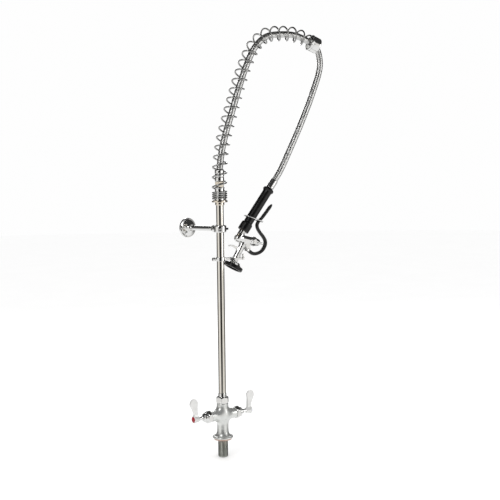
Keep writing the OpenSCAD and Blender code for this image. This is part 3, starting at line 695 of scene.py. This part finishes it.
# ---------------------------------------------------------------- mixer body
BODY_PROFILE = [(0, 4), (26, 4), (28.5, 5.2), (29, 7.2), (28.3, 9.2), (26, 10.4), (23.5, 10.6), (20.6, 12.6),
                (18, 17), (16.6, 23), (16, 30), (16, 92), (16.5, 102.5), (15.7, 104), (13, 104), (13, 114),
                (0, 114)]


def body_shape(p):
    d = turned(p, UPRIGHT, BODY_PROFILE)
    arms = np.minimum(*(rod(p, arm(side), 14.5, 0, 42) for side in (-1, 1)))
    d = join(d, arms, 17)
    for side in (-1, 1):
        d = cut(d, rod(p, arm(side), 11, 9, 60))
    d = cut(d, rod(p, UPRIGHT, 8, 92, 130))
    return cut(d, rod(p, UPRIGHT, 13.6, -10, 14))


skin("body_casting", body_shape, (-42, -29, 4), (42, 29, 114), 1.0, CASTING, "base", ["mixer_body"], soft=0.8,
     spin=ARM_TURN)
skin("nut_riser", lambda p: cut(hexagon(p, UPRIGHT, 38, 104, 122, 3.2), rod(p, UPRIGHT, 12.8, 100, 130)),
     (-19, -19, 104), (19, 19, 122), 0.8, CHROME, "base", ["riser_nut"], soft=0.8)
lathe("washer_deck", [(14.1, 0), (25, 0), (25, 4), (14.1, 4)], UPRIGHT, GASKET, "base", ["deck_gasket"],
      fillet=0.8, closed=True)

HUB_IN, HUB_OUT = 79, 97

for side, name, button, button_mat in ((-1, "hot", "red_index", RED), (1, "cold", "blue_index", BLUE)):
    at = arm(side)

    def bonnet_shape(p, at=at):
        d = hexagon(p, at, 36, 42, 54, 2.2)
        d = join(d, turned(p, at, [(0, 50), (14.5, 50), (14.5, 56), (13, 57), (13, 60), (11.8, 62.2),
                                   (8.8, 64.6), (7, 66), (0, 66)]), 0.8)
        return cut(d, np.minimum(rod(p, at, 11, 30, 55), rod(p, at, 4.1, 30, 80)))

    xs = sorted((side * 42, side * 66))
    skin(name + "_bonnet_hex", bonnet_shape, (xs[0], -18, 52), (xs[1], 18, 88), 0.8, CHROME, "base",
         [name + "_bonnet"], soft=0.5, spin=ARM_TURN)
    body = name + "_tap"
    turned_arm = (about_z(ARM_TURN) @ at[0], at[1])
    lathe(name + "_spindle", [(4, 15), (4, 67), (6.5, 67), (6.5, 69), (5.2, 70.5), (5.2, HUB_IN), (4, HUB_IN),
                              (4, 89)],
          turned_arm, CHROME, body, [name + "_stem"], fillet=0.35)

    def handle_shape(p, at=at, side=side):
        hub = turned(p, at, [(0, HUB_IN), (6.2, HUB_IN), (7.2, 80), (9.6, 92), (10.2, 94), (10.2, 96),
                             (9.4, HUB_OUT), (0, HUB_OUT)])
        q = p * np.array([side, 1.0, 1.0])
        outline = [(84, 74), (95.8, 76), (95.9, 84), (98.2, 92), (101.8, 100), (105, 107), (107, 113),
                   (85, 117), (84.2, 108)]
        blade = join(poly_distance(q[..., 0], q[..., 2], outline),
                     np.hypot(q[..., 0] - 95.6, q[..., 2] - 116.6) - 11.5, 6)
        half = 3.9 - 1.3 * np.clip((q[..., 2] - 80) / 45, 0, 1)
        flat = np.abs(q[..., 1]) - half
        d = join(hub, np.maximum(blade, flat), 3.5)
        return cut(d, np.minimum(rod(p, at, 4, 70, 91), rod(p, at, 5, 91, 102)))

    xs = sorted((side * HUB_IN, side * 109))
    skin(name + "_paddle", handle_shape, (xs[0], -11, 59), (xs[1], 11, 129), 0.8, PADDLE, body,
         [name + "_handle"], soft=1.1, spin=ARM_TURN)
    lathe(name + "_button", [(4.9, 95), (4.9, HUB_OUT), (8.2, HUB_OUT), (8.2, 97.8), (7.4, 98.5), (4, 98.9),
                             (0, 99)],
          turned_arm, button_mat, body, [name + "_index"], fillet=0.4)

# Threaded shank: a helical thread cut below the crest, and an end face with the two supply inlets.
THREAD, THREAD_DEPTH, SHANK_R = 1.8, 0.75, 14.0
FOOT_Z, THREAD_FROM, RUN_OUT, RUN_OUT_R = -50, -48.6, 2.0, 12.6
rows = np.arange(THREAD_FROM, 0.01, THREAD / 8)
angle = circle(72)
phase = (rows[:, None] / THREAD - angle[None] / (2 * math.pi)) % 1.0
shape_r = SHANK_R - THREAD_DEPTH * np.clip(1.35 * np.abs(2 * phase - 1) - 0.2, 0, 1)
tail = np.clip((rows - THREAD_FROM) / RUN_OUT, 0, 1)[:, None]
shape_r = shape_r * tail + (RUN_OUT_R + (shape_r - RUN_OUT_R) * tail) * (1 - tail)
bm = bmesh.new()
outer = [(r * math.cos(a), r * math.sin(a), z) for z, line in zip(rows, shape_r) for r, a in zip(line, angle)]
grid = [bm.verts.new(np.array(p) * MM) for p in outer]
sides = len(angle)
for f in bar_faces(len(rows), sides):
    bm.faces.new([grid[i] for i in f])


def shank_ring(r, z, x=0, angles=angle):
    return [bm.verts.new(((x + r * math.cos(a)) * MM, r * math.sin(a) * MM, z * MM)) for a in angles]


top = shank_ring(13.4, 13.5)
last = grid[-sides:]
for k in range(sides):
    bm.faces.new([last[k], last[(k + 1) % sides], top[(k + 1) % sides], top[k]])
bm.faces.new(top)
foot = shank_ring(12.2, FOOT_Z)
for k in range(sides):
    bm.faces.new([foot[k], foot[(k + 1) % sides], grid[(k + 1) % sides], grid[k]])
rim = [bm.edges.get((foot[k], foot[(k + 1) % sides])) for k in range(sides)]
for x in (-6.5, 6.5):
    rings = [shank_ring(r, z, x, angle[::2])
             for r, z in ((4.9, FOOT_Z), (4.5, -49.4), (4.5, -34), (3.6, -34), (3.6, -20))]
    m = len(rings[0])
    for low_ring, high_ring in zip(rings, rings[1:]):
        for k in range(m):
            bm.faces.new([low_ring[k], high_ring[k], high_ring[(k + 1) % m], low_ring[(k + 1) % m]])
    bm.faces.new(rings[-1][::-1])
    rim += [bm.edges.get((rings[0][k], rings[0][(k + 1) % m])) for k in range(m)]
bmesh.ops.triangle_fill(bm, edges=rim, use_beauty=True, use_dissolve=False, normal=(0, 0, -1))
bmesh.ops.recalc_face_normals(bm, faces=bm.faces)
mesh = bpy.data.meshes.new("shank_threaded")
bm.to_mesh(mesh)
bm.free()
for p in mesh.polygons:
    p.use_smooth = abs(p.normal.z) < 0.9
mesh.materials.append(SHANK)
shank = add("shank_threaded", mesh)
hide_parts("deck_shank")
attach(shank, "base")

# ---------------------------------------------------------------- riser
lathe("sleeve", [(5.75, 96), (7.9, 96), (7.9, 114), (12.7, 114), (12.7, 117.5), (11.5, 117.5), (11.5, 129),
                 (11.3, 131), (10.9, 132.8), (10.55, 133), (10.55, 119), (5.75, 119)],
      UPRIGHT, CHROME, "riser", ["riser_sleeve"], fillet=0.4, closed=True)
lathe("pipe", [(9, 119), (10.5, 119), (10.5, 672), (9, 672)], UPRIGHT, PIPE, "riser", ["riser_pipe"],
      fillet=0.3, segs=96, closed=True)
HOOK_Z = 513


def hook_shape(p):
    plate = slab(p, [(2, -8), (26, -9), (36, -16), (66, -16), (66, -10), (43, -10), (38, -8.7), (34.3, -5),
                     (33, 0), (34.3, 5), (38, 8.7), (43, 10), (66, 10), (66, 16), (36, 16), (26, 9), (2, 8)],
                 (0, 1), 2, HOOK_Z, 3)
    d = join(rod(p, UPRIGHT, 13, HOOK_Z - 6, HOOK_Z + 6), plate, 3)
    d = join(d, rod(p, round_about(HOOK_Z, 180), 4.5, 8, 16), 1.5)
    for side in (-1, 1):
        tip = slab(p, [(60.5, 510), (66, 510), (66, 524), (63.6, 527), (61, 524)], (0, 2), 1, side * 13, 3)
        d = join(d, tip, 2)
    return cut(cut(d, rod(p, UPRIGHT, 10.55, 490, 540)), rod(p, round_about(HOOK_Z, 180), 2.6, 5, 30))


skin("hook", hook_shape, (-16, -16, 507), (66, 16, 527), 0.75, CHROME, "riser", ["finger_hook"], soft=0.7)


def knurled(name, profile, at, mat, body, replaced, ribs, z0, z1):
    """A turned piece with straight ribs between two heights."""
    depth, segs = 0.35, 96
    pts, _ = softened(profile, 0.4, False)
    a = circle(segs)
    rows = []
    for r, z in pts:
        cut_in = depth * (0.5 - 0.5 * np.cos(ribs * a)) if z0 <= z <= z1 and r > 3 else 0 * a
        rows.append(np.stack([(r - cut_in) * np.cos(a), (r - cut_in) * np.sin(a), 0 * a + z], -1))
    verts = np.concatenate(rows)
    return put(name, world(at, verts), capped(bar_faces(len(pts), segs), len(pts), segs), mat, body, replaced)


knurled("thumb_screw", [(2.5, 10.5), (2.5, 17), (4, 17.2), (5, 18.2), (5, 23.3), (4, 24.5), (0.5, 24.5)],
        round_about(HOOK_Z, 180), CHROME, "riser", ["hook_screw"], 18, 17.9, 23.6)


def socket_screw(name, r, z0, z1, angle_at, height, body, replaced, mat=SCREW):
    lathe(name, [(0, z0), (r - 0.6, z0), (r, z0 + 0.6), (r, z1 - 0.5), (r - 0.5, z1), (r * 0.52, z1),
                 (r * 0.5, z1 - 1.6), (0, z1 - 1.8)],
          round_about(height, angle_at), mat, body, replaced, fillet=0.25, segs=36)


socket_screw("screw_seat", 2.0, 10.5, 15, WALL_ANGLE + 140, 668, "riser", ["seat_screw"])

# ---------------------------------------------------------------- wall bracket
def clamp_shape(p):
    d = turned(p, UPRIGHT, [(0, 588), (15.6, 588), (17, 589.4), (17.5, 591), (17.5, 605), (17, 606.6),
                            (15.6, 608), (0, 608)])
    d = join(d, rod(p, WALL, 9.5, 5, 24), 3)
    d = cut(cut(d, rod(p, UPRIGHT, 10.57, 570, 630)), rod(p, WALL, 7.05, 14, 60))
    for angle_at in (138, 228):
        d = cut(d, rod(p, round_about(BRACKET_Z, WALL_ANGLE + angle_at), 3.05, 5, 40))
    return d


skin("clamp", clamp_shape, (-24, -19, 588), (18, 24, 608), 0.75, CHROME, "bracket", ["bracket_clamp"],
     soft=0.6)
for k, (angle_at, mat) in enumerate(((138, CHROME), (228, SCREW))):
    socket_screw("screw_clamp_%d" % k, 3.0, 10.9, 23.1, WALL_ANGLE + angle_at, BRACKET_Z, "bracket",
                 ["bracket_screws"], mat)
lathe("rod_wall", [(6.3, 14), (7, 15)] + [(7 - 0.35 * (i % 2), 16 + 0.8 * i) for i in range(28)]
      + [(7, 40), (7, 138)], WALL, CHROME, "bracket", ["bracket_rod"], fillet=0.2)
lock_ends = world(WALL, [(-11, 11, 24), (11, -11, 31)])
skin("nut_lock", lambda p: cut(hexagon(p, WALL, 20, 24, 31, 1.2), rod(p, WALL, 7.05, 10, 50)),
     lock_ends.min(0) - 4, lock_ends.max(0) + 4, 0.6, CHROME, "bracket", ["bracket_locknut"], soft=0.4)
lathe("flange_wall", [(3.4, 141), (3.4, 138), (7.05, 138), (7.05, 128), (9.5, 128), (10.5, 130), (10.5, 136),
                      (11.6, 138.4), (14, 139.6), (20, 141.2), (22.6, 142), (23.6, 143.6), (27.5, 144),
                      (28.5, 145), (28.5, 150), (3.4, 150)],
      WALL, CHROME, "bracket", ["wall_flange"], fillet=0.5, segs=96, closed=True)

# ---------------------------------------------------------------- spray valve
lathe("ferrule_grip", [(8.9, 173), (10, 173), (11, 174), (11, 200.4), (10.2, 202), (8.6, 202), (8.0, 180)],
      GRIP, CHROME, "sprayer", ["grip_ferrule"], fillet=0.5, closed=True)
lathe("grip_rubber", [(8.8, 54.5), (13, 54.5), (13, 62)] + [(13, 66 + 12 * i) for i in range(8)]
      + [(13, 159), (13.6, 162), (15, 164.4), (16, 165.6), (16.1, 168.6), (15, 171), (12.6, 171.6),
         (11.6, 173), (8.8, 173)],
      GRIP, RUBBER, "sprayer", ["grip"], fillet=0.6, closed=True)


def skirt_shape(p):
    q = local(GRIP, p)
    d = turned(p, GRIP, [(0, 27.5), (15.7, 27.5), (16.5, 28.5), (16.5, 49), (15.6, 52.4), (13.4, 54.5),
                         (0, 54.5)])
    for turn_at in (60, 180, 300):
        a = math.radians(turn_at)
        u = q[..., 0] * math.cos(a) + q[..., 1] * math.sin(a)
        w = -q[..., 0] * math.sin(a) + q[..., 1] * math.cos(a)
        d = cut(d, np.maximum(15.1 - u, np.abs(w) - 3.2), 0.8)
    return cut(d, rod(p, GRIP, 8.8, 20, 60))


lo_hi = world(GRIP, [(-17, -17, 27), (17, 17, 27), (-17, 0, 55), (17, 0, 55)])
skin("skirt_rubber", skirt_shape, lo_hi.min(0), lo_hi.max(0), 0.9, RUBBER, "sprayer", ["grip_skirt"],
     soft=0.7)

NECK = leaned((HEAD_O[0] - 5 * math.cos(HEAD_LEAN), HEAD_O[1] + 5 * math.sin(HEAD_LEAN)), HEAD_TILT)
PIVOT = np.array([84.0, 537.0])
PIN = (np.array([[1, 0, 0], [0, 0, 1], [0, -1, 0]], float), np.array([PIVOT[0], 0, PIVOT[1]]))


def valve_shape(p):
    d = rod(p, GRIP, 9.5, 0, 27.5)
    d = join(d, ball(p, (55.2, 0, 570.1), 11.5), 3)
    d = join(d, rod(p, BAR, 10.5, 0, 46), 5)
    d = join(d, rod(p, BAR, 11.4, 40, 46), 1.5)
    d = join(d, rod(p, NECK, 9, 14, 78), 4)
    d = join(d, rod(p, NECK, 10.5, 64, 69), 1.2)
    for side in (-1, 1):
        y = side * 7.9
        ear = slab(p, [(78.6, 533), (84.3, 531.5), (89.4, 536), (89, 541), (87, 562), (73, 563)],
                   (0, 2), 1, y, 1.4)
        d = join(d, ear, 2)
    tab = slab(p, [(54, 533), (46, 541), (38, 546.5), (30, 548.5), (25.4, 547.4), (24.6, 549.4), (26, 551.4),
                   (31, 552.4), (40, 551), (50, 546.5), (60, 541)], (0, 2), 1, 0, 2.3)
    d = join(d, tab, 3)
    d = cut(d, np.minimum(rod(p, GRIP, 8.8, 14, 60), rod(p, BAR, 6.5, 8, 60)))
    d = cut(d, rod(p, NECK, 5, -5, 77))
    return cut(d, rod(p, PIN, 2.5, -30, 30))


skin("valve_casting", valve_shape, (24, -12, 500), (102, 12, 597), 0.8, CHROME, "sprayer", ["valve_body"],
     soft=0.5)


def valve_bonnet_shape(p):
    d = hexagon(p, BAR, 28, 46, 55, 1.6)
    d = join(d, turned(p, BAR, [(0, 50), (11.5, 50), (11.5, 58), (9.5, 60.5), (9.5, 65), (8, 68), (0, 68)]),
             0.8)
    d = join(d, rod(p, BAR, 10.6, 61.2, 63.2), 0.6)
    return cut(d, np.minimum(rod(p, BAR, 6.5, 40, 55), rod(p, BAR, 3.05, 40, 90)))


skin("valve_cap", valve_bonnet_shape, (94, -14, 543), (123, 14, 575), 0.7, CHROME, "sprayer",
     ["valve_bonnet"], soft=0.45)
lathe("plunger_rod", [(3, 20), (3, 26), (6.2, 26), (6.2, 29), (3, 29), (3, 79.9), (2.8, 81.1), (2.1, 82.2),
                      (0, 82.9)],
      BAR, CHROME, "plunger", ["valve_stem"], fillet=0.3, segs=48)

LEVER_ROUTE = [(84, 537), (99, 525), (115, 525), (130, 533), (139, 547), (139.5, 560), (133, 572), (124, 583),
               (116.5, 595), (114.5, 606), (119.5, 616), (131, 627), (145, 643), (162, 664)]
LEVER_BEFORE, LEVER_AFTER = (72, 552), (178, 685)
LEVER_RINGS, LEVER_SIDES = 140, 36
LEVER_SPANS = len(LEVER_ROUTE) - 1
line = np.array([on_route(LEVER_ROUTE, LEVER_BEFORE, LEVER_AFTER, i / (LEVER_RINGS - 1) * LEVER_SPANS)
                 for i in range(LEVER_RINGS)])
way = unit(np.gradient(line, axis=0))
side_of = np.stack([way[:, 1], -way[:, 0]], -1)
t = np.linspace(0, 1, LEVER_RINGS)
half_thick = np.where(t > 0.6, 4.2, 5 - 0.8 * t / 0.6)
half_wide = np.full(LEVER_RINGS, 5.95)
for ends, reach in ((t, 0.012), (1 - t, 0.035)):
    pinch = np.sqrt(np.clip(1 - (1 - np.clip(ends / reach, 0.02, 1)) ** 2, 0.02, 1))
    half_thick = half_thick * pinch
    half_wide = half_wide * (0.45 + 0.55 * pinch)
a = circle(LEVER_SIDES)
ca, sa = np.cos(a), np.sin(a)
SQUARENESS = 0.62        # 1 gives the bar an oval section, 0 a square one
sup_c, sup_s = np.sign(ca) * np.abs(ca) ** SQUARENESS, np.sign(sa) * np.abs(sa) ** SQUARENESS
bar_verts = np.stack([
    line[:, :1] + side_of[:, :1] * half_thick[:, None] * sup_c[None],
    half_wide[:, None] * sup_s[None],
    line[:, 1:] + side_of[:, 1:] * half_thick[:, None] * sup_c[None]], -1)
put("lever_bar", bar_verts.reshape(-1, 3),
    capped(bar_faces(LEVER_RINGS, LEVER_SIDES), LEVER_RINGS, LEVER_SIDES),
    LEVER, "lever", ["squeeze_lever"])
lathe("lever_screw", [(0, -11.4), (1.2, -11.4), (1.5, -10.7), (3.4, -11.1), (4, -10.4), (4, -9.4),
                      (2.5, -9.4), (2.5, 9.4), (4, 9.4), (4, 10.4), (3.4, 11.1), (1.5, 10.7), (1.2, 11.4),
                      (0, 11.4)],
      PIN, CHROME, "sprayer", ["lever_pin"], fillet=0.25, segs=40)

# Wire ring round the grip and the lever.
RING_TILT, RING_UP, RING_WIRE_R, RING_SIDES = -15, 72, 1.4, 12
RING = (GRIP[0] @ leaned((0, 0), RING_TILT)[0], world(GRIP, [0, 0, RING_UP]))
HALF, OUT, BACK = 15.2, 22.5, -5.0
half_turn = np.linspace(-math.pi / 2, math.pi / 2, 33)
loop = [(OUT + HALF * math.cos(b), HALF * math.sin(b), 0) for b in half_turn]
loop += [(x, HALF, 0) for x in np.linspace(OUT, BACK, 12)[1:-1]]
loop += [(BACK - HALF * math.cos(b), -HALF * math.sin(b), 0) for b in half_turn]
loop += [(x, -HALF, 0) for x in np.linspace(BACK, OUT, 12)[1:-1]]
loop = np.array(loop)
way = unit(np.roll(loop, -1, 0) - np.roll(loop, 1, 0))
ring_points = wire(loop, np.full(len(loop), RING_WIRE_R), np.cross(way, [0, 0, 1]),
                   np.tile([0, 0, 1.0], (len(loop), 1)), RING_SIDES)
put("ring_hold", world(RING, ring_points),
    [f[::-1] for f in bar_faces(len(loop), RING_SIDES, close=True)], CHROME, "hold_ring", ["hold_ring"])

# Spray head, bumper and face.
lathe("head_cup", [(17, 6), (17, 3), (22, 3), (22, 5), (19.5, 7), (17, 9), (15, 11), (14, 12.5), (13.5, 14),
                   (9, 14), (5, 14), (5, 6)],
      HEAD, CHROME, "sprayer", ["spray_head"], fillet=0.5, closed=True)
lathe("bumper", [(20, -6), (24.6, -6), (26.6, -5.6), (27.8, -4.4), (28, -2.6), (28, -1.4), (27.3, -0.9),
                 (27.3, -0.1), (28, 0.4), (28, 1.8), (27.6, 3.6), (26.4, 4.8), (24.8, 5.2), (22.4, 5),
                 (22.2, 3), (20, 3)],
      HEAD, RUBBER, "sprayer", ["spray_bumper"], fillet=0.6, closed=True, segs=96)
lathe("face_bolt", [(0, -3.6), (2.6, -3.6), (3.6, -3.2), (4, -2.4), (4, -2), (2, -2), (2, 5), (0, 5)],
      HEAD, CHROME, "sprayer", ["face_screw"], fillet=0.2, segs=40)

# ---------------------------------------------------------------- CAD nodes that stay
KEPT = {
    "hot_cartridge": BRASS, "cold_cartridge": BRASS, "hot_screw": SCREW, "cold_screw": SCREW,
    "riser_orings": SEAL, "hose_washer": SEAL, "grip_tube": BRASS, "valve_washer": SEAL,
    "valve_spring": WIRE, "head_gasket": SEAL, "spray_face": CHROME,
}
for name, mat in KEPT.items():
    obj = nodes[name]
    obj.data.materials.clear()
    obj.data.materials.append(mat)

# ---------------------------------------------------------------- floor, light and surroundings
FLOOR_Z, FLOOR_R = -0.0505, 14
bm = bmesh.new()
bmesh.ops.create_circle(bm, cap_ends=True, radius=FLOOR_R, segments=64,
                        matrix=Matrix.Translation((0, 0, FLOOR_Z)))
mesh = bpy.data.meshes.new("floor")
bm.to_mesh(mesh)
bm.free()
floor = add("floor", mesh)
floor_mat, tree, bsdf = material("floor_white")
two_tone(tree, bsdf, object_noise(tree, 3.0), (0.985, 0.985, 0.985), (0.995, 0.995, 0.995))
bsdf.inputs["Roughness"].default_value = 0.85
bsdf.inputs["Specular IOR Level"].default_value = 0.0
mesh.materials.append(floor_mat)
floor.visible_glossy = False
LAMPS_AIM = Vector((0.12, 0, 0.55))


def lamp(name, at, size, power):
    data = bpy.data.lights.new(name, "AREA")
    data.shape = "RECTANGLE"
    data.size, data.size_y = size
    data.energy = power
    obj = add(name, data)
    obj.location = at
    obj.rotation_mode = "QUATERNION"
    obj.rotation_quaternion = (LAMPS_AIM - Vector(at)).to_track_quat("-Z", "Y")


lamp("key", (-2.4, -1.6, 2.2), (0.9, 1.4), 22)
lamp("fill", (2.2, -2.0, 1.0), (0.6, 1.6), 10)
lamp("back", (0.8, 2.6, 1.6), (1.2, 0.8), 12)

world_data = bpy.data.worlds.new("studio")
bpy.context.scene.world = world_data
world_data.use_nodes = True
tree = world_data.node_tree
links = tree.links
background = tree.nodes["Background"]
coord = tree.nodes.new("ShaderNodeTexCoord")
split = tree.nodes.new("ShaderNodeSeparateXYZ")
links.new(coord.outputs["Generated"], split.inputs["Vector"])
level = tree.nodes.new("ShaderNodeCombineXYZ")
links.new(split.outputs["X"], level.inputs["X"])
links.new(split.outputs["Y"], level.inputs["Y"])
heading = maths(tree, "ShaderNodeVectorMath", "NORMALIZE", level.outputs["Vector"])
dot = maths(tree, "ShaderNodeVectorMath", "DOT_PRODUCT", heading.outputs["Vector"], tuple(-forward))
arc = maths(tree, "ShaderNodeMath", "ARCCOSINE", dot.outputs["Value"])
part_turn = maths(tree, "ShaderNodeMath", "DIVIDE", arc.outputs[0], math.pi)
bands = tree.nodes.new("ShaderNodeValToRGB")
ramp = bands.color_ramp
ramp.interpolation = "EASE"
# What metal reflects round the horizon: brightness by angle in degrees from behind the photographer.
AROUND = [(0, 0.015), (22, 0.03), (36, 0.82), (60, 0.93), (80, 0.72), (97, 0.20), (118, 0.06), (140, 0.12),
          (160, 0.18), (180, 0.20)]
while len(ramp.elements) < len(AROUND):
    ramp.elements.new(0.5)
for element, (degrees, value) in zip(ramp.elements, AROUND):
    element.position = degrees / 180
    element.color = (value, value * 0.985, value * 0.96, 1)
links.new(part_turn.outputs[0], bands.inputs["Fac"])
# By height (start, end, brightness): dark overhead, and the white floor's light from below.
BY_HEIGHT = ((0.04, 0.26, 0.04), (-0.14, -0.48, 0.92))
sides_of_sky = bands.outputs["Color"]
for start, end, value in BY_HEIGHT:
    height = node(tree, "ShaderNodeMapRange", From_Min=start, From_Max=end, To_Min=0.0, To_Max=1.0)
    height.interpolation_type = "SMOOTHSTEP"
    links.new(split.outputs["Z"], height.inputs["Value"])
    sky = tree.nodes.new("ShaderNodeMix")
    sky.data_type = "RGBA"
    links.new(height.outputs["Result"], sky.inputs["Factor"])
    links.new(sides_of_sky, sky.inputs[6])
    sky.inputs[7].default_value = (value, value, value, 1)
    sides_of_sky = sky.outputs[2]
path_node = tree.nodes.new("ShaderNodeLightPath")
plain = maths(tree, "ShaderNodeMath", "MAXIMUM", path_node.outputs["Is Camera Ray"],
              path_node.outputs["Is Diffuse Ray"])
seen = tree.nodes.new("ShaderNodeMix")
seen.data_type = "RGBA"
links.new(plain.outputs[0], seen.inputs["Factor"])
links.new(sides_of_sky, seen.inputs[6])
seen.inputs[7].default_value = (0.99, 0.99, 0.99, 1)
links.new(seen.outputs[2], background.inputs["Color"])
background.inputs["Strength"].default_value = 1.0
bpy.context.scene.view_settings.view_transform = "Standard"

bpy.context.view_layer.update()
